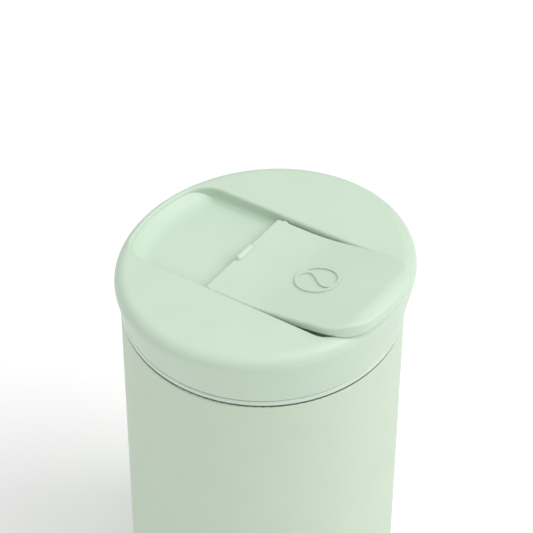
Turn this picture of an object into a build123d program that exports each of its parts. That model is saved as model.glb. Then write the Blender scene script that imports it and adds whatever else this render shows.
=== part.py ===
from build123d import *
import os
from math import atan, cos, degrees, hypot, radians, sin, sqrt, tan

# Insulated travel mug, in millimetres. The origin is the centre of the base, +Z is up
# and +X points to the drinking side, where the slanted lid is highest.

# ---- driving dimensions: steel body ----
BODY_R = 42.0
BODY_TOP = 128.1
BODY_BOTTOM = 1.0
SHELL_WALL = 0.6
MOUTH_R = 38.4
LINER_WALL = 0.5
LINER_FLOOR_Z = 10.5
LINER_ROUND = 7.0
BASE_DISC_Z = 4.8
DIMPLE_R = 6.0
DIMPLE_RISE = 1.8
VENT_HOLE_R = 1.0
FOIL_GAP = 0.35
FOIL_WALL = 0.2
FOIL_BOTTOM = 20.0
FOIL_TOP = 116.0
GETTER_X = 16.0
GETTER_R = 5.0
PAD_R = 36.0
PAD_HEIGHT = 1.8

# ---- driving dimensions: lid ----
SEAM_Z = 128.5
SKIRT_Z = 2.4
SKIRT_R = 42.0
SKIRT_FLARE = 0.18
DECK_HEIGHT = 18.2
DECK_SLOPE = 0.113
RIM_ROUND = 3.7
CAP_WALL = 2.0
CONE_HEIGHT = 40.0
DECK_EXTRA = 0.2
FLANGE_R = 42.0
FLANGE_FACE = 0.3
SEAT_R = 39.4
NECK_STEP = 0.8
FLANGE_LIP = 0.5
FLANGE_HEIGHT = 2.0
FLANGE_ROUND = 0.4
SPIGOT = 5.0
PLUG_R = 37.4
PLUG_WALL = 2.8
PLUG_DEPTH = 15.0
PLUG_FLOOR = 2.0
PLUG_ROUND = 1.5
BRIDGE_WIDTH = 2.4
BRIDGE_HEIGHT = 5.0
FOAM_GAP = 0.2
GASKET_R = 38.05
GROOVE_R = 36.2
GROOVE_HEIGHT = 5.0
GROOVE_Z = -10.0
GASKET_PLAY = 0.2

# ---- driving dimensions: channel across the lid ----
CHANNEL_HALF = 18.6
CHANNEL_R = 40.6
CHANNEL_DEPTH = 4.5
CHANNEL_CORNER_LOW = 9.0
CHANNEL_CORNER_HIGH = 6.0
CHANNEL_ROUND = 1.5
CHANNEL_EDGE = 0.9
RIM_SAG = 0.3
BOWL_R = 34.8
BOWL_ROUND = 6.0
BOWL_ANGLE = 45.0

# ---- driving dimensions: drinking and vent ducts ----
DUCT_X = 26.5
DUCT_LEN = 16.0
DUCT_WIDTH = 7.0
DUCT_WALL = 1.4
VENT_X = 7.5
VENT_R = 1.6
SEAL_T = 1.0

# ---- driving dimensions: flap and hinge ----
HINGE_X = -5.2
HINGE_DROP = 2.95
CAP_CLEARANCE = 0.35
TROUGH_R = 3.9
FLAP_GAP = 0.55
FLAP_REAR = -7.7
FLAP_DROP = 1.25
FLAP_BEND_START = 3.0
FLAP_BEND_END = 15.0
FLAP_SLOPE = 0.16
FLAP_CREST_START = 40.0
FLAP_CREST_END = 46.0
FLAP_TIP_SLOPE = -1.0
FLAP_R = 45.4
FLAP_CORNER = 12.0
FLAP_LIP_Z = -0.2
FLAP_SKIN = 1.8
FLAP_EDGE = 0.9
FLAP_REAR_EDGE = 0.4
NOTCH_X0 = 22.0
NOTCH_X1 = 38.0
NOTCH_Y = 15.6
NOTCH_SKIN = 2.3
NOTCH_TOP = 0.5
PLATE_T = 1.4
PLATE_HALF = 14.5
PLATE_X0 = 2.0
PLATE_X1 = 32.0
PLATE_CORNER = 4.0
PLATE_LEDGE = 1.2
STOPPER_GAP = 0.4
STOPPER_DEPTH = 2.5
STOPPER_TAPER = 10.0
STOPPER_FLANGE = 1.2
FLANGE_T = 0.4
HEAD_T = 1.0
PIN_R = 0.9
PIN_LEN = 9.4
PIN_GRIP = 5.0
PIN_PLAY = 0.3
PIN_CHAMFER = 0.2
PIN_FIT = 0.06
BOSS_R = 2.8
BOSS_LEN = 4.6
BOSS_SINK = 0.2
EAR_LEN = 3.0
EAR_GAP = 0.2
EAR_ROUND = 0.6
NUB_R = 1.1
NUB_LEN = 7.4
NUB_BACK = 0.95
NUB_RISE = 0.15
MARK_X = 20.0
MARK_LEN = 14.6
MARK_WIDTH = 12.0
MARK_LINE = 1.1
MARK_RISE = 0.5

DECK_TILT = degrees(atan(DECK_SLOPE))
DECK_Z = SEAM_Z + DECK_HEIGHT
FLOOR_Z = -CHANNEL_DEPTH
TUB_Z = FLOOR_Z - CAP_WALL
BIG = 200.0


def on_deck(shape):
    """Move a shape from the deck's frame, where z = 0 is the deck face, to the mug's frame."""
    return Pos(0, 0, DECK_Z) * Rot(0, -DECK_TILT, 0) * shape


def in_deck(point):
    """A point of the mug in the deck's frame."""
    return (Rot(0, DECK_TILT, 0) * Pos(0, 0, -DECK_Z) * Pos(*point)).position


def rod(radius, length, x, y, z):
    """A rod along Y with its middle at x, y, z."""
    return Pos(x, y, z) * Rot(90, 0, 0) * Cylinder(radius, length)


def ring(r_in, r_out, z0, z1):
    """A plain ring about the Z axis."""
    blank = Cylinder(r_out, z1 - z0) - Cylinder(r_in, z1 - z0)
    return Pos(0, 0, (z0 + z1) / 2) * blank


def disc(radius, z0, z1):
    return Pos(0, 0, (z0 + z1) / 2) * Cylinder(radius, z1 - z0)


def turned(*points):
    """A solid of revolution about Z from (radius, height) points."""
    return revolve(Plane.XZ * make_face(Polyline(*points, close=True)), Axis.Z)


def channel_plan(inset):
    """Outline of the channel across the deck, shrunk on every side by inset."""
    plan = Circle(CHANNEL_R - inset) & Rectangle(BIG, 2 * (CHANNEL_HALF - inset))
    half = Pos(BIG / 2, 0) * Rectangle(BIG, BIG)
    high = fillet([v for v in (plan & half).vertices() if v.X > 1], CHANNEL_CORNER_HIGH - inset)
    low = fillet([v for v in (plan - half).vertices() if v.X < -1], CHANNEL_CORNER_LOW - inset)
    return high + low


def bowl(inset, top):
    """A dish about the deck's middle, which gives the channel's ends their sloping walls."""
    floor = FLOOR_Z + inset
    curve = JernArc((BOWL_R, floor), (1, 0), BOWL_ROUND - inset, BOWL_ANGLE)
    slope = tan(radians(BOWL_ANGLE))
    end = (curve @ 1) + Vector((top - (curve @ 1).Y) / slope, top - (curve @ 1).Y)
    outline = Polyline(curve @ 1, end, (0, top), (0, floor), (BOWL_R, floor))
    return revolve(Plane.XZ * make_face([curve, outline]), Axis.Z)


def channel(inset, top=2.0):
    """The channel's hollow in the deck's frame, shrunk on every side by inset."""
    floor = FLOOR_Z + inset
    blank = Pos(0, 0, floor) * extrude(channel_plan(inset), top - floor)
    blank = fillet(blank.edges().group_by(Axis.Z)[0], CHANNEL_ROUND - inset)
    return blank & bowl(inset, top)


def slot(length, width, x, z0, z1):
    """An upright rod with a slot-shaped section, long along Y."""
    return Pos(x, 0, z0) * extrude(SlotOverall(length, width, rotation=90), z1 - z0)


# ---- steel body ----
def outer_shell():
    inner = BODY_R - SHELL_WALL
    shell = ring(inner, BODY_R, BODY_BOTTOM, BODY_TOP)
    lip = ring(MOUTH_R + LINER_WALL, BODY_R, BODY_TOP - SHELL_WALL, BODY_TOP)
    shell = shell + lip
    outer = shell.edges().filter_by(GeomType.CIRCLE).group_by(Axis.Z)[-1].sort_by(SortBy.RADIUS)[-1]
    return fillet(outer, SHELL_WALL - 0.05)


def inner_liner():
    outer = Pos(0, 0, (LINER_FLOOR_Z + BODY_TOP) / 2) * Cylinder(
        MOUTH_R + LINER_WALL, BODY_TOP - LINER_FLOOR_Z)
    cavity = Pos(0, 0, (LINER_FLOOR_Z + LINER_WALL + BODY_TOP) / 2) * Cylinder(
        MOUTH_R, BODY_TOP - LINER_FLOOR_Z - LINER_WALL)
    outer = fillet(outer.edges().group_by(Axis.Z)[0], LINER_ROUND + LINER_WALL)
    cavity = fillet(cavity.edges().group_by(Axis.Z)[0], LINER_ROUND)
    return outer - cavity


def radiation_foil():
    """Thin foil wrapped once round the liner, with a narrow slit where its ends meet."""
    r_in = MOUTH_R + LINER_WALL + FOIL_GAP
    wrap = ring(r_in, r_in + FOIL_WALL, FOIL_BOTTOM, FOIL_TOP)
    slit = Pos(-r_in, 0, (FOIL_BOTTOM + FOIL_TOP) / 2) * Box(4, 1.2, BODY_TOP)
    return wrap - slit


def outer_base():
    """Pressed steel bottom of the outer shell, with a raised dimple round the pumping hole."""
    r = BODY_R - SHELL_WALL
    t = SHELL_WALL
    z = BASE_DISC_Z
    up = z + DIMPLE_RISE
    base = turned(
        (VENT_HOLE_R, up), (DIMPLE_R - 1, up), (DIMPLE_R, z), (r - t, z), (r - t, z - 1.9),
        (r, z - 1.9), (r, z + t), (DIMPLE_R, z + t), (DIMPLE_R - 1, up + t), (VENT_HOLE_R, up + t))
    return base


def vacuum_bead():
    """Bead of sealing glass that closes the pumping hole from below."""
    z = BASE_DISC_Z + DIMPLE_RISE
    plug = disc(VENT_HOLE_R, z - 0.4, z + SHELL_WALL)
    dome = Pos(0, 0, z) * Sphere(2.2) & disc(BODY_R, z - 1.5, z)
    return plug + dome


def getter_clip():
    """Spring steel clip, spot welded inside the base, that holds the getter pellet."""
    z = BASE_DISC_Z + SHELL_WALL
    foot = Pos(GETTER_X, 0, z + 0.2) * Box(2 * GETTER_R + 8, 3.0, 0.4)
    jaws = ring(GETTER_R + 0.05, GETTER_R + 0.45, z, z + 2.4)
    window = Box(2 * GETTER_R + 4, 6.0, 20)
    jaws = Pos(GETTER_X, 0, 0) * (jaws & Pos(0, 0, z) * window)
    return foot + jaws


def getter_pellet():
    z = BASE_DISC_Z + SHELL_WALL + 0.4
    pellet = Pos(GETTER_X, 0, z + 1.1) * Cylinder(GETTER_R, 2.2)
    return chamfer(pellet.edges().filter_by(GeomType.CIRCLE), 0.3)


def base_cover():
    """Disc that hides the sealed bottom and carries the foot pad in a shallow pocket."""
    r = BODY_R - SHELL_WALL - 0.05
    cover = disc(r, BODY_BOTTOM, BODY_BOTTOM + 1.6)
    pocket = disc(PAD_R + 0.1, BODY_BOTTOM - 1, PAD_HEIGHT)
    return cover - pocket


def foot_pad():
    """Non-slip pad that the mug stands on, with two shallow grooves."""
    pad = disc(PAD_R, 0, PAD_HEIGHT)
    pad = fillet(pad.edges().group_by(Axis.Z)[0], 0.5)
    for radius in (14.0, 25.0):
        pad -= ring(radius, radius + 1.4, -0.5, 0.5)
    return pad


# ---- lid ----
def cap_blank(grow):
    """Solid envelope of the cap in the deck's frame, larger on every side by grow."""
    base = SEAM_Z + SKIRT_Z
    top = base + CONE_HEIGHT
    radius = SKIRT_R + grow
    cone = turned((0, base), (radius, base), (radius + SKIRT_FLARE * CONE_HEIGHT, top), (0, top))
    blank = Rot(0, DECK_TILT, 0) * Pos(0, 0, -DECK_Z) * cone
    blank -= Pos(0, 0, BIG / 2 + grow) * Box(BIG, BIG, BIG)
    return fillet(blank.edges().group_by(Axis.Z)[-1], RIM_ROUND + grow)


def cap_hollow(inset):
    """The space inside the cap round the channel's tub, shrunk on every side by inset."""
    base = SEAM_Z + SKIRT_Z
    low = base - 1
    top = base + CONE_HEIGHT
    wall = CAP_WALL + inset
    inner = SKIRT_R - wall
    wide = inner + SKIRT_FLARE * CONE_HEIGHT
    hollow = turned((0, low), (inner, low), (inner, base), (wide, top), (0, top))
    hollow -= on_deck(Pos(0, 0, BIG / 2 - wall - DECK_EXTRA) * Box(BIG, BIG, BIG))
    tub = Pos(0, 0, TUB_Z - inset) * extrude(channel_plan(-wall), BIG)
    trough = rod(TROUGH_R + wall, 2 * (CHANNEL_HALF + wall), HINGE_X, 0, -HINGE_DROP)
    hollow -= on_deck(tub + trough)
    for side in (-1, 1):
        y = side * (CHANNEL_HALF + CAP_WALL + BOSS_LEN / 2 - BOSS_SINK)
        hollow -= on_deck(rod(BOSS_R + inset, BOSS_LEN + 2 * inset, HINGE_X, y, -HINGE_DROP))
    return hollow


def lid_cap():
    """Outer moulding: flared skirt, slanted deck and the channel that the flap lies in."""
    cap = on_deck(cap_blank(0)) - cap_hollow(0)
    cap -= on_deck(channel(0))
    cap = fillet(channel_rim(cap), CHANNEL_EDGE)
    cap -= on_deck(rod(TROUGH_R, 2 * CHANNEL_HALF, HINGE_X, 0, -HINGE_DROP))
    cap -= on_deck(slot(DUCT_LEN, DUCT_WIDTH, DUCT_X, TUB_Z - 5, 0))
    cap -= on_deck(Pos(VENT_X, 0, FLOOR_Z) * Cylinder(VENT_R, 3 * CAP_WALL))
    cap -= on_deck(rod(PIN_R, 60, HINGE_X, 0, -HINGE_DROP))
    return cap


def channel_rim(cap):
    """Edges where the channel's walls meet the deck and the rounded rim."""
    rim = []
    for edge in cap.edges():
        p = in_deck(edge.center())
        inside = abs(p.Y) < CHANNEL_HALF + 0.05 and sqrt(p.X ** 2 + p.Y ** 2) < CHANNEL_R + 0.05
        if inside and abs(p.Z) < RIM_SAG:
            rim.append(edge)
    return rim


def lid_core():
    """Plug that goes into the mouth; the edge of its flange shows as a ring under the skirt."""
    z = SEAM_Z
    wall_r = PLUG_R - PLUG_WALL
    seat = BODY_TOP + FLANGE_FACE
    neck_r = SKIRT_R - NECK_STEP
    core = turned(
        (0, z - PLUG_DEPTH), (PLUG_R, z - PLUG_DEPTH), (PLUG_R, seat), (SEAT_R, seat),
        (SEAT_R + FLANGE_LIP, z + FLANGE_LIP), (FLANGE_R, z + FLANGE_LIP), (FLANGE_R, z + FLANGE_HEIGHT),
        (neck_r, z + FLANGE_HEIGHT), (neck_r, z + SKIRT_Z), (SKIRT_R - CAP_WALL, z + SKIRT_Z),
        (SKIRT_R - CAP_WALL, z + SPIGOT), (wall_r, z + SPIGOT),
        (wall_r, z - PLUG_DEPTH + PLUG_FLOOR), (0, z - PLUG_DEPTH + PLUG_FLOOR))
    core = fillet(circles(core, FLANGE_R, z + FLANGE_HEIGHT), FLANGE_ROUND)
    core = fillet(circles(core, PLUG_R, z - PLUG_DEPTH), PLUG_ROUND)
    core -= ring(GROOVE_R, PLUG_R + 1, z + GROOVE_Z, z + GROOVE_Z + GROOVE_HEIGHT)
    return core - ducts(DUCT_WALL, z - BIG / 2, z + BIG / 2)


def circles(shape, radius, z):
    """The circular edges of a turned shape with the given radius and height."""
    rims = shape.edges().filter_by(GeomType.CIRCLE)
    return [e for e in rims if abs(e.radius - radius) < 0.01 and abs(e.arc_center.Z - z) < 0.01]


def duct_tubes():
    """Drinking duct and vent duct, joined by a bridge, which pass through the plug's floor."""
    z = SEAM_Z - PLUG_DEPTH
    tubes = ducts(DUCT_WALL, z, DECK_Z) & below_seals()
    tubes += bridge(BRIDGE_WIDTH, z + PLUG_FLOOR, z + PLUG_FLOOR + BRIDGE_HEIGHT)
    return tubes - ducts(0, z - 1, DECK_Z + 1)


def bridge(width, z0, z1):
    """Upright web between the two ducts."""
    x0, x1 = under_hole(VENT_X), under_hole(DUCT_X)
    return Pos((x0 + x1) / 2, 0, (z0 + z1) / 2) * Box(x1 - x0, width, z1 - z0)


def below_seals():
    """Everything under the faces that the duct seals lie on."""
    return on_deck(Pos(0, 0, TUB_Z - SEAL_T - BIG / 2) * Box(BIG, BIG, BIG))


def ducts(wall, z0, z1):
    """Upright rods for the drinking duct and the vent duct, wall thicker than their bores."""
    drink = slot(DUCT_LEN + 2 * wall, DUCT_WIDTH + 2 * wall, under_hole(DUCT_X), z0, z1)
    vent = Pos(under_hole(VENT_X), 0, 0) * disc(VENT_R + wall, z0, z1)
    return drink + vent


def under_hole(x):
    """Place along X where the hole at x in the channel's floor meets the duct below it."""
    return (Rot(0, -DECK_TILT, 0) * Pos(x, 0, TUB_Z)).position.X


def duct_seal():
    """Soft washer between the drinking duct and the underside of the cap."""
    outer = slot(DUCT_LEN + 2 * DUCT_WALL, DUCT_WIDTH + 2 * DUCT_WALL, DUCT_X, TUB_Z - SEAL_T, TUB_Z)
    return on_deck(outer - slot(DUCT_LEN + 0.6, DUCT_WIDTH + 0.6, DUCT_X, -BIG, BIG))


def vent_seal():
    """Soft washer between the vent duct and the underside of the cap."""
    return on_deck(Pos(VENT_X, 0, 0) * ring(VENT_R + 0.3, VENT_R + DUCT_WALL, TUB_Z - SEAL_T, TUB_Z))


def lid_foam():
    """Insulating foam that fills the plug and the cap round the two ducts."""
    z0 = SEAM_Z - PLUG_DEPTH + PLUG_FLOOR
    foam = disc(PLUG_R - PLUG_WALL - FOAM_GAP, z0, SEAM_Z + SPIGOT + 1)
    foam += cap_hollow(2 * FOAM_GAP) & disc(BIG / 2, SEAM_Z + SPIGOT + FOAM_GAP, BIG)
    foam -= ducts(DUCT_WALL + FOAM_GAP, SEAM_Z - BIG / 2, SEAM_Z + BIG / 2)
    return foam - bridge(BRIDGE_WIDTH + 2 * FOAM_GAP, z0 - 1, z0 + BRIDGE_HEIGHT + FOAM_GAP)


def main_gasket():
    """Silicone ring in the plug's groove, with two lips that seal against the liner."""
    z = SEAM_Z + GROOVE_Z + GASKET_PLAY
    h = GROOVE_HEIGHT - 2 * GASKET_PLAY
    r = GROOVE_R + 0.3
    waist = PLUG_R - 0.2
    return turned(
        (r, z), (PLUG_R, z), (GASKET_R, z + 0.4), (GASKET_R, z + 1.0), (waist, z + 1.9),
        (waist, z + h - 1.9), (GASKET_R, z + h - 1.0), (GASKET_R, z + h - 0.4), (PLUG_R, z + h),
        (r, z + h))


def hinge_pin(side):
    """Steel pin pressed into one boss of the cap; the flap turns on its inner end."""
    y = side * (CHANNEL_HALF + PIN_GRIP - PIN_LEN / 2)
    pin = chamfer(Cylinder(PIN_R, PIN_LEN).edges().filter_by(GeomType.CIRCLE), PIN_CHAMFER)
    return on_deck(Pos(HINGE_X, y, -HINGE_DROP) * Rot(90, 0, 0) * pin)


# ---- flap ----
BEND_ANGLE = degrees(atan(FLAP_SLOPE))
BEND_R = (FLAP_BEND_END - FLAP_BEND_START) / sin(radians(BEND_ANGLE))
TIP_ANGLE = degrees(atan(FLAP_TIP_SLOPE))
CREST_R = (FLAP_CREST_END - FLAP_CREST_START) / (sin(radians(BEND_ANGLE)) - sin(radians(TIP_ANGLE)))


def flap_top(x):
    """Height of the flap's top above the deck: flat, bent upwards, rising, then falling away."""
    if x < FLAP_BEND_START:
        return -FLAP_DROP
    if x < FLAP_BEND_END:
        return BEND_R - sqrt(BEND_R ** 2 - (x - FLAP_BEND_START) ** 2) - FLAP_DROP
    bend_rise = BEND_R * (1 - cos(radians(BEND_ANGLE)))
    rise = bend_rise + FLAP_SLOPE * (min(x, FLAP_CREST_START) - FLAP_BEND_END) - FLAP_DROP
    if x < FLAP_CREST_START:
        return rise
    lean = CREST_R * sin(radians(BEND_ANGLE))
    far = lean - (x - FLAP_CREST_START)
    return rise + sqrt(CREST_R ** 2 - far ** 2) - sqrt(CREST_R ** 2 - lean ** 2)


def under_line(drop, width):
    """Everything below the flap's top line moved down by drop, as a bar of the given width."""
    x0, x1, low = -20.0, FLAP_CREST_END, -12.0
    bend = JernArc((FLAP_BEND_START, -FLAP_DROP - drop), (1, 0), BEND_R, BEND_ANGLE)
    rise = Line(bend @ 1, (FLAP_CREST_START, flap_top(FLAP_CREST_START) - drop))
    crest = JernArc(rise @ 1, rise % 1, CREST_R, TIP_ANGLE - BEND_ANGLE)
    rest = Polyline(crest @ 1, (x1, low), (x0, low), (x0, -FLAP_DROP - drop), bend @ 0)
    return extrude(Plane.XZ * make_face([bend, rise, crest, rest]), width / 2, both=True)


def flap_plan():
    """Outline of the flap seen from above."""
    half = CHANNEL_HALF - FLAP_GAP
    plan = (Circle(FLAP_R) & Rectangle(BIG, 2 * half)) & Pos(BIG / 2 + FLAP_REAR, 0) * Rectangle(BIG, BIG)
    return fillet([v for v in plan.vertices() if v.X > 0], FLAP_CORNER)


def flap_blank():
    """The flap's outside: a tongue in the channel with a lip that reaches over the rim."""
    over_rim = Pos(0, 0, FLAP_LIP_Z) * extrude(flap_plan(), 12) - cap_blank(CAP_CLEARANCE)
    in_channel = channel(FLAP_GAP, 1.0) & Pos(0, 0, -10) * extrude(flap_plan(), 20)
    blank = (over_rim + in_channel) & under_line(0, BIG)
    edges = [e for e in blank.edges() if on_top(e)]
    return fillet(edges, FLAP_EDGE)


def side_notches():
    """Clearance cut into the flap's sides beside the drinking hole, under its top skin."""
    length = NOTCH_X1 - NOTCH_X0
    bars = Box(length, BIG, 10) - Box(length, 2 * NOTCH_Y, 10)
    bars = Pos((NOTCH_X0 + NOTCH_X1) / 2, 0, NOTCH_TOP - 5) * bars
    return bars & under_line(NOTCH_SKIN, BIG)


def on_top(edge):
    """True for the edges round the flap's top face, apart from its straight rear edge."""
    points = [edge @ 0, edge @ 0.5, edge @ 1]
    level = all(abs(p.Z - flap_top(p.X)) < 0.02 for p in points)
    across = abs(points[0].X - points[2].X) < 0.01 and edge.geom_type == GeomType.LINE
    return level and not across


def top_layer(rise, sink):
    """A thin layer that follows the flap's top, from sink below it to rise above it."""
    return under_line(-rise, BIG) - under_line(sink, BIG)


def mark():
    """Raised outline of a coffee bean on the flap, a plain ornament."""
    bean = Ellipse(MARK_LEN / 2, MARK_WIDTH / 2)
    bean -= Ellipse(MARK_LEN / 2 - MARK_LINE, MARK_WIDTH / 2 - MARK_LINE)
    reach = MARK_LEN / 2 - MARK_LINE / 2
    bow = MARK_WIDTH * 0.16
    crease = Spline((-reach, 0), (-reach / 2, bow), (0, 0), (reach / 2, -bow), (reach, 0))
    bean += trace(crease, MARK_LINE)
    blank = Pos(MARK_X, 0, -5) * extrude(bean, 10)
    return blank & top_layer(MARK_RISE, 0.4)


def ear(side):
    """Barrel at one rear corner of the flap, round the hinge pin."""
    barrel = Cylinder(HINGE_DROP - FLAP_DROP, EAR_LEN)
    outer = barrel.edges().filter_by(GeomType.CIRCLE).sort_by(Axis.Z)[-1]
    barrel = fillet(outer, EAR_ROUND)
    y = side * (CHANNEL_HALF - EAR_GAP - EAR_LEN / 2)
    return Pos(HINGE_X, y, -HINGE_DROP) * Rot(-90 * side, 0, 0) * barrel


def nub():
    """Cam nub in the middle of the rear edge, which holds the flap open."""
    bar = rod(NUB_R, NUB_LEN - 2 * NUB_R, 0, 0, 0)
    for side in (-1, 1):
        bar += Pos(0, side * (NUB_LEN / 2 - NUB_R), 0) * Sphere(NUB_R)
    return Pos(FLAP_REAR + NUB_BACK, 0, NUB_RISE - FLAP_DROP) * bar


def plate_outline(shrink):
    length = PLATE_X1 - PLATE_X0 - 2 * shrink
    outline = RectangleRounded(length, 2 * (PLATE_HALF - shrink), PLATE_CORNER - shrink)
    return Pos((PLATE_X0 + PLATE_X1) / 2, 0) * outline


def flap_pocket():
    """Hollow under the flap: a wide step for the plate and a narrower cavity above it."""
    z0 = FLOOR_Z + FLAP_GAP
    step = Pos(0, 0, z0 - 1) * extrude(plate_outline(0), PLATE_T + 1)
    cavity = Pos(0, 0, z0) * extrude(plate_outline(PLATE_LEDGE), 12)
    return step + (cavity & under_line(FLAP_SKIN, BIG))


def flap():
    body = flap_blank()
    rear = [e for e in body.edges().filter_by(Axis.Y) if e.center().X < FLAP_REAR + 0.01]
    body = fillet(ShapeList(rear).sort_by(Axis.Z)[-1], FLAP_REAR_EDGE)
    body -= flap_pocket() + side_notches()
    body += mark() + nub()
    for side in (-1, 1):
        body += ear(side)
        bore = 2 * (PIN_LEN - PIN_GRIP + PIN_PLAY)
        body -= rod(PIN_R + PIN_FIT, bore, HINGE_X, side * CHANNEL_HALF, -HINGE_DROP)
    return on_deck(body)


def flap_plate():
    """Plate snapped into the underside of the flap, which carries the two stoppers."""
    z0 = FLOOR_Z + FLAP_GAP
    plate = Pos(0, 0, z0) * extrude(plate_outline(0.05), PLATE_T)
    plate -= slot(DUCT_LEN - 3, DUCT_WIDTH - 3, DUCT_X, z0 - 1, z0 + 3)
    plate -= Pos(VENT_X, 0, z0) * Cylinder(VENT_R - 0.6, 6)
    return on_deck(plate)


def flap_stopper():
    """Silicone stopper that closes the drinking hole: head, neck, flange and tapered plug."""
    z0 = FLOOR_Z + FLAP_GAP
    long, wide = DUCT_LEN, DUCT_WIDTH
    head = slot(long - 0.5, wide - 0.5, DUCT_X, z0 + PLATE_T, z0 + PLATE_T + HEAD_T)
    neck = slot(long - 3.1, wide - 3.1, DUCT_X, z0, z0 + PLATE_T)
    flange = slot(long + 2 * STOPPER_FLANGE, wide + 2 * STOPPER_FLANGE, DUCT_X, z0 - FLANGE_T, z0)
    outline = SlotOverall(long - 2 * STOPPER_GAP, wide - 2 * STOPPER_GAP, rotation=90)
    depth = STOPPER_DEPTH + FLAP_GAP - FLANGE_T
    plug = extrude(Plane.XY.rotated((180, 0, 0)) * outline, depth, taper=STOPPER_TAPER)
    plug = fillet(plug.edges().group_by(Axis.Z)[0], 0.6)
    return on_deck(head + neck + flange + Pos(DUCT_X, 0, z0 - FLANGE_T) * plug)


def vent_stopper():
    """Small silicone stopper for the vent hole: stem, flange and tip."""
    z0 = FLOOR_Z + FLAP_GAP
    tip_r = VENT_R - STOPPER_GAP
    stem_r = VENT_R - 0.6
    low = z0 - FLANGE_T
    button = turned(
        (0, z0 + PLATE_T), (stem_r, z0 + PLATE_T), (stem_r, z0), (VENT_R + STOPPER_FLANGE, z0),
        (VENT_R + STOPPER_FLANGE, low), (tip_r, low), (tip_r - 0.3, low - 0.9), (tip_r - 0.7, low - 1.2),
        (0, low - 1.2))
    return on_deck(Pos(VENT_X, 0, 0) * button)


NODES = {
    "outer_shell": outer_shell,
    "inner_liner": inner_liner,
    "radiation_foil": radiation_foil,
    "outer_base": outer_base,
    "vacuum_bead": vacuum_bead,
    "getter_clip": getter_clip,
    "getter_pellet": getter_pellet,
    "base_cover": base_cover,
    "foot_pad": foot_pad,
    "lid_cap": lid_cap,
    "lid_core": lid_core,
    "duct_tubes": duct_tubes,
    "lid_foam": lid_foam,
    "main_gasket": main_gasket,
    "duct_seal": duct_seal,
    "vent_seal": vent_seal,
    "hinge_pin_right": lambda: hinge_pin(-1),
    "hinge_pin_left": lambda: hinge_pin(1),
    "flap": flap,
    "flap_plate": flap_plate,
    "flap_stopper": flap_stopper,
    "vent_stopper": vent_stopper,
}

os.makedirs("parts", exist_ok=True)
for name, make in NODES.items():
    export_step(make(), "parts/" + name + ".step")
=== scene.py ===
import math

import bpy
from mathutils import Matrix, Vector

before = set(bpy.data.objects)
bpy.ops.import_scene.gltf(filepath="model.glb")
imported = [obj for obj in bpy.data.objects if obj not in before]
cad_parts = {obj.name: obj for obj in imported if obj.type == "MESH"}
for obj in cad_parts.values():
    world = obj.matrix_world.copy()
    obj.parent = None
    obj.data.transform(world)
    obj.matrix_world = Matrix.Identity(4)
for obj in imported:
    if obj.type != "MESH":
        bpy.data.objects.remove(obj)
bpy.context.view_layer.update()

# Looks for the insulated travel mug. Everything is in metres, in the frame of the CAD model:
# the origin is the centre of the base, +Z is up and +X is the drinking side.

MM = 0.001

# ---- colours, linear ----
MINT_PLASTIC = (0.540, 0.671, 0.539)
MINT_COAT = (0.560, 0.668, 0.535)
MINT_PLUG = (0.570, 0.700, 0.595)
MINT_BASE = (0.52, 0.64, 0.51)
SILICONE = (0.70, 0.76, 0.69)
STEEL = (0.74, 0.74, 0.72)
FOIL = (0.72, 0.73, 0.74)
GETTER = (0.10, 0.10, 0.105)
BEAD = (0.12, 0.16, 0.14)
FOAM = (0.80, 0.78, 0.70)
FLOOR = (0.96, 0.96, 0.96)
WHITE = (1.0, 1.0, 1.0)
PAINTED_SEAM_SHADE = (0.17, 0.22, 0.16)    # painted shade: a dark green that stands in for the shadow in the seam gap

# ---- sizes ----
SEAM_SHADE_HEIGHT = 127.97 * MM          # height above which the body is painted dark as the seam's shade, just under the rim
ROUND_AXIS = (60.0, 60.0, 3000.0)     # brushed lines round the mug's axis
ALONG_PIN = (3000.0, 200.0, 3000.0)   # drawn lines along a hinge pin
FLOOR_SIZE = 12.0

# ---- camera ----
# The camera looks at the middle of the seam from an azimuth that puts the drinking side
# towards the viewer's right. Azimuth 0 looks along +Y. Angles are in degrees.
CAMERA_AZIMUTH = 36.5
CAMERA_ELEVATION = 44.54
CAMERA_ROLL = 0.24
CAMERA_DISTANCE = 0.708
CAMERA_RIGHT = 0.0011
CAMERA_UP = 0.01041
CAMERA_LENS = 161.4              # mm, on the sensor width below
SENSOR = 36.0
NEAR_CLIP = 0.01
SEAM_HEIGHT = 0.1285
LID_CENTRE = Vector((0.0, 0.0, SEAM_HEIGHT))

# Sockets of a Mix node that mixes colours. Its other kinds of mix use the same socket names.
MIX_A, MIX_B, MIX_RESULT = 6, 7, 2


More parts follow.
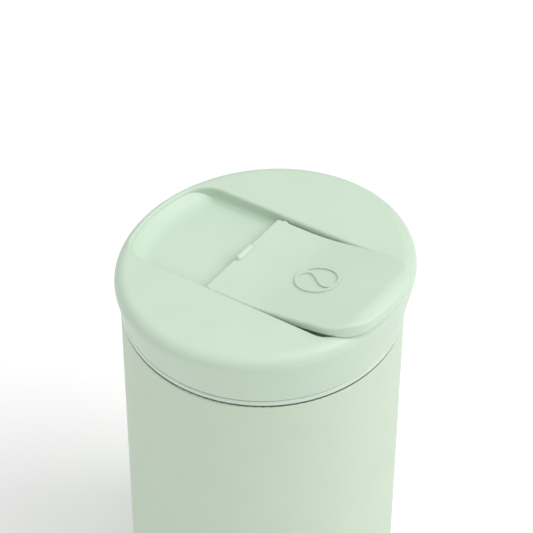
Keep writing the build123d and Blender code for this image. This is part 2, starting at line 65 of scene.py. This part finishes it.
# ---- materials ----
class Nodes:
    """A short way to write a node material. Noise scales are in cells per metre."""

    def __init__(self, name):
        self.material = bpy.data.materials.new(name)
        self.material.use_nodes = True
        self.tree = self.material.node_tree
        self.shader = self.tree.nodes["Principled BSDF"]
        self.place = self.add("ShaderNodeTexCoord").outputs["Object"]

    def add(self, kind, **values):
        node = self.tree.nodes.new(kind)
        for key, value in values.items():
            setattr(node, key, value)
        return node

    def link(self, source, target):
        self.tree.links.new(source, target)

    def noise(self, scale, detail=3.0, rough=0.55):
        node = self.add("ShaderNodeTexNoise")
        node.inputs["Scale"].default_value = scale
        node.inputs["Detail"].default_value = detail
        node.inputs["Roughness"].default_value = rough
        self.link(self.place, node.inputs["Vector"])
        return node.outputs["Fac"]

    def cells(self, scale):
        """Distance from the middle of each rounded cell."""
        node = self.add("ShaderNodeTexVoronoi")
        node.inputs["Scale"].default_value = scale
        self.link(self.place, node.inputs["Vector"])
        return node.outputs["Distance"]

    def sum(self, first, second):
        node = self.add("ShaderNodeMath", operation="ADD")
        self.link(first, node.inputs[0])
        self.link(second, node.inputs[1])
        return node.outputs["Value"]

    def stretch(self, scale):
        """Stretches the coordinates, so that a noise becomes brushed lines."""
        node = self.add("ShaderNodeMapping")
        node.inputs["Scale"].default_value = scale
        self.link(self.place, node.inputs["Vector"])
        self.place = node.outputs["Vector"]

    def colour(self, source, low, high, start=0.35, end=0.65):
        """Base colour that goes from low to high as the source goes from start to end."""
        ramp = self.add("ShaderNodeValToRGB")
        first, last = ramp.color_ramp.elements
        first.position, first.color = start, (*low, 1.0)
        last.position, last.color = end, (*high, 1.0)
        self.link(source, ramp.inputs["Fac"])
        self.link(ramp.outputs["Color"], self.shader.inputs["Base Color"])

    def colour_above(self, height, colour):
        """Another base colour above a height on the object."""
        split = self.add("ShaderNodeSeparateXYZ")
        step = self.add("ShaderNodeMath", operation="GREATER_THAN")
        mix = self.add("ShaderNodeMix", data_type="RGBA")
        under = self.shader.inputs["Base Color"].links[0].from_socket
        step.inputs[1].default_value = height
        mix.inputs[MIX_B].default_value = (*colour, 1.0)
        self.link(self.place, split.inputs["Vector"])
        self.link(split.outputs["Z"], step.inputs[0])
        self.link(step.outputs["Value"], mix.inputs["Factor"])
        self.link(under, mix.inputs[MIX_A])
        self.link(mix.outputs[MIX_RESULT], self.shader.inputs["Base Color"])

    def roughness(self, source, low, high):
        node = self.add("ShaderNodeMapRange")
        node.inputs["To Min"].default_value = low
        node.inputs["To Max"].default_value = high
        self.link(source, node.inputs["Value"])
        self.link(node.outputs["Result"], self.shader.inputs["Roughness"])

    def bump(self, source, height, strength):
        node = self.add("ShaderNodeBump")
        node.inputs["Strength"].default_value = strength
        node.inputs["Distance"].default_value = height
        self.link(source, node.inputs["Height"])
        self.link(node.outputs["Normal"], self.shader.inputs["Normal"])

    def set(self, **values):
        for key, value in values.items():
            self.shader.inputs[key].default_value = value


def tint(colour, factor):
    return tuple(channel * factor for channel in colour)


def moulded_plastic(name, colour, rough, relief=0.012 * MM):
    """Moulded matte plastic: a fine spark-eroded grain and very slight shade changes."""
    m = Nodes(name)
    m.colour(m.noise(scale=55.0, detail=2.0), low=tint(colour, 0.985), high=tint(colour, 1.012))
    m.roughness(m.noise(scale=900.0), low=rough - 0.04, high=rough + 0.05)
    m.bump(m.noise(scale=2600.0, detail=4.0, rough=0.6), height=relief, strength=0.35)
    m.set(IOR=1.49)
    return m.material


def powder_coat(name, colour):
    """Powder coat on steel, with a soft orange peel and a fine grit. Just under the rim the colour
    turns to painted shade: a dark band that stands in for the shadow in the seam."""
    m = Nodes(name)
    m.colour(m.noise(scale=40.0, detail=2.0), low=tint(colour, 0.985), high=tint(colour, 1.01))
    # Painted shade: above this height the colour is a dark band for the shadow in the seam gap.
    m.colour_above(SEAM_SHADE_HEIGHT, PAINTED_SEAM_SHADE)
    m.roughness(m.noise(scale=1200.0), low=0.50, high=0.60)
    peel = m.noise(scale=700.0)
    grit = m.noise(scale=3200.0)
    m.bump(m.sum(peel, grit), height=0.02 * MM, strength=0.35)
    m.set(IOR=1.5)
    return m.material


def brushed_steel(name, colour, line_scale):
    """Steel with fine lines, which run in the directions where the line scale is small."""
    m = Nodes(name)
    m.stretch(line_scale)
    lines = m.noise(scale=1.0, detail=5.0, rough=0.7)
    m.colour(lines, low=tint(colour, 0.85), high=tint(colour, 1.1), start=0.3, end=0.7)
    m.roughness(lines, low=0.24, high=0.40)
    m.bump(lines, height=0.02 * MM, strength=0.3)
    m.set(Metallic=1.0)
    return m.material


def silicone(name, colour, rough):
    """Silicone or soft rubber with a faint moulded grain."""
    m = Nodes(name)
    m.colour(m.noise(scale=120.0), low=tint(colour, 0.97), high=tint(colour, 1.01))
    m.roughness(m.noise(scale=700.0), low=rough - 0.05, high=rough + 0.06)
    m.bump(m.noise(scale=3000.0, detail=2.0), height=0.01 * MM, strength=0.4)
    m.set(IOR=1.41)
    return m.material


def foam(name, colour):
    """Foam beads: cells a little over a millimetre across."""
    m = Nodes(name)
    beads = m.cells(scale=700.0)
    m.colour(beads, low=colour, high=tint(colour, 0.8), start=0.2, end=0.9)
    m.roughness(m.noise(scale=500.0), low=0.85, high=0.95)
    m.bump(beads, height=0.15 * MM, strength=0.6)
    return m.material


def crinkled_foil(name, colour):
    """Thin aluminium foil with small creases."""
    m = Nodes(name)
    creases = m.noise(scale=160.0, detail=6.0, rough=0.65)
    m.colour(creases, low=tint(colour, 0.9), high=tint(colour, 1.05))
    m.roughness(creases, low=0.18, high=0.35)
    m.bump(creases, height=0.3 * MM, strength=0.5)
    m.set(Metallic=1.0)
    return m.material


def sintered(name, colour):
    """Pressed metal powder: dark, speckled and rough."""
    m = Nodes(name)
    grains = m.noise(scale=4000.0, detail=4.0)
    m.colour(grains, low=tint(colour, 0.6), high=tint(colour, 1.5))
    m.roughness(m.noise(scale=2000.0), low=0.75, high=0.9)
    m.bump(grains, height=0.05 * MM, strength=0.7)
    m.set(Metallic=0.5)
    return m.material


def sealing_glass(name, colour):
    """A glossy bead of dark solder glass."""
    m = Nodes(name)
    m.colour(m.noise(scale=900.0), low=tint(colour, 0.8), high=tint(colour, 1.2))
    m.roughness(m.noise(scale=500.0), low=0.08, high=0.16)
    m.bump(m.noise(scale=600.0), height=0.02 * MM, strength=0.3)
    m.set(IOR=1.52)
    return m.material


def dress(material, *names):
    """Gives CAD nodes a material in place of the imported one."""
    for name in names:
        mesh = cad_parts[name].data
        mesh.materials.clear()
        mesh.materials.append(material)


def dress_mug():
    lid_plastic = moulded_plastic("lid_plastic_matte", MINT_PLASTIC, rough=0.42)
    plug_plastic = moulded_plastic("plug_plastic_satin", MINT_PLUG, rough=0.28, relief=0.006 * MM)
    base_plastic = moulded_plastic("base_plastic_matte", MINT_BASE, rough=0.55)
    coat = powder_coat("powder_coat_mint", MINT_COAT)
    steel = brushed_steel("steel_brushed", STEEL, ROUND_AXIS)
    pin_steel = brushed_steel("steel_pin", STEEL, ALONG_PIN)
    seal = silicone("silicone_soft", SILICONE, rough=0.6)
    pad = silicone("silicone_pad", MINT_BASE, rough=0.7)

    dress(lid_plastic, "lid_cap", "flap")
    dress(plug_plastic, "lid_core", "duct_tubes", "flap_plate")
    dress(base_plastic, "base_cover")
    dress(coat, "outer_shell")
    dress(steel, "inner_liner", "outer_base", "getter_clip")
    dress(pin_steel, "hinge_pin_left", "hinge_pin_right")
    dress(seal, "main_gasket", "flap_stopper", "vent_stopper", "duct_seal", "vent_seal")
    dress(pad, "foot_pad")
    dress(foam("lid_foam_cells", FOAM), "lid_foam")
    dress(crinkled_foil("foil_crinkled", FOIL), "radiation_foil")
    dress(sintered("getter_sintered", GETTER), "getter_pellet")
    dress(sealing_glass("bead_glass", BEAD), "vacuum_bead")


# ---- stage ----
def add_to_scene(name, data):
    thing = bpy.data.objects.new(name, data)
    bpy.context.scene.collection.objects.link(thing)
    return thing


def make_floor():
    half = FLOOR_SIZE / 2
    corners = [(-half, -half, 0), (half, -half, 0), (half, half, 0), (-half, half, 0)]
    mesh = bpy.data.meshes.new("floor")
    mesh.from_pydata(corners, [], [(0, 1, 2, 3)])
    m = Nodes("floor_paper")
    m.colour(m.noise(scale=30.0), low=tint(FLOOR, 0.995), high=FLOOR)
    m.roughness(m.noise(scale=200.0), low=0.85, high=0.95)
    mesh.materials.append(m.material)
    floor = add_to_scene("floor", mesh)


def soft_light(name, azimuth, elevation, distance, size, power):
    """A square area light that faces the lid. Its azimuth is measured round the mug from the
    camera, with 90 degrees to the camera's right."""
    turn = math.radians(CAMERA_AZIMUTH + azimuth - 90.0)
    rise = math.radians(elevation)
    out = Vector((math.cos(turn) * math.cos(rise), math.sin(turn) * math.cos(rise), math.sin(rise)))
    data = bpy.data.lights.new(name, "AREA")
    data.shape = "SQUARE"
    data.size = size
    data.energy = power
    light = add_to_scene(name, data)
    light.location = LID_CENTRE + out * distance
    light.rotation_euler = (-out).to_track_quat("-Z", "Y").to_euler()


def make_world(horizon, zenith):
    """Studio air that lights the mug more from overhead than from the horizon. A camera sees it
    white all over."""
    world = bpy.data.worlds.new("studio")
    world.use_nodes = True
    tree = world.node_tree
    background = tree.nodes["Background"]
    background.inputs["Color"].default_value = (*WHITE, 1.0)
    direction = tree.nodes.new("ShaderNodeTexCoord")
    split = tree.nodes.new("ShaderNodeSeparateXYZ")
    grade = tree.nodes.new("ShaderNodeMapRange")
    grade.inputs["To Min"].default_value = horizon
    grade.inputs["To Max"].default_value = zenith
    ray = tree.nodes.new("ShaderNodeLightPath")
    brighter = tree.nodes.new("ShaderNodeMath")
    brighter.operation = "MAXIMUM"
    tree.links.new(direction.outputs["Generated"], split.inputs["Vector"])
    tree.links.new(split.outputs["Z"], grade.inputs["Value"])
    tree.links.new(grade.outputs["Result"], brighter.inputs[0])
    tree.links.new(ray.outputs["Is Camera Ray"], brighter.inputs[1])
    tree.links.new(brighter.outputs["Value"], background.inputs["Strength"])
    bpy.context.scene.world = world


def make_camera():
    turn = Matrix.Rotation(math.radians(CAMERA_AZIMUTH), 4, "Z")
    tilt = Matrix.Rotation(math.radians(90.0 - CAMERA_ELEVATION), 4, "X")
    back = Matrix.Translation((CAMERA_RIGHT, CAMERA_UP, CAMERA_DISTANCE))
    roll = Matrix.Rotation(math.radians(CAMERA_ROLL), 4, "Z")
    data = bpy.data.cameras.new("camera")
    data.lens = CAMERA_LENS
    data.sensor_width = SENSOR
    data.clip_start = NEAR_CLIP
    camera = add_to_scene("camera", data)
    camera.matrix_world = Matrix.Translation(LID_CENTRE) @ turn @ tilt @ back @ roll
    bpy.context.scene.camera = camera


dress_mug()
make_floor()
make_camera()
soft_light("key", azimuth=75.0, elevation=50.0, distance=1.6, size=1.1, power=15.0)
soft_light("fill", azimuth=-80.0, elevation=35.0, distance=1.8, size=1.4, power=3.0)
make_world(horizon=0.32, zenith=0.97)
bpy.context.scene.view_settings.view_transform = "Standard"
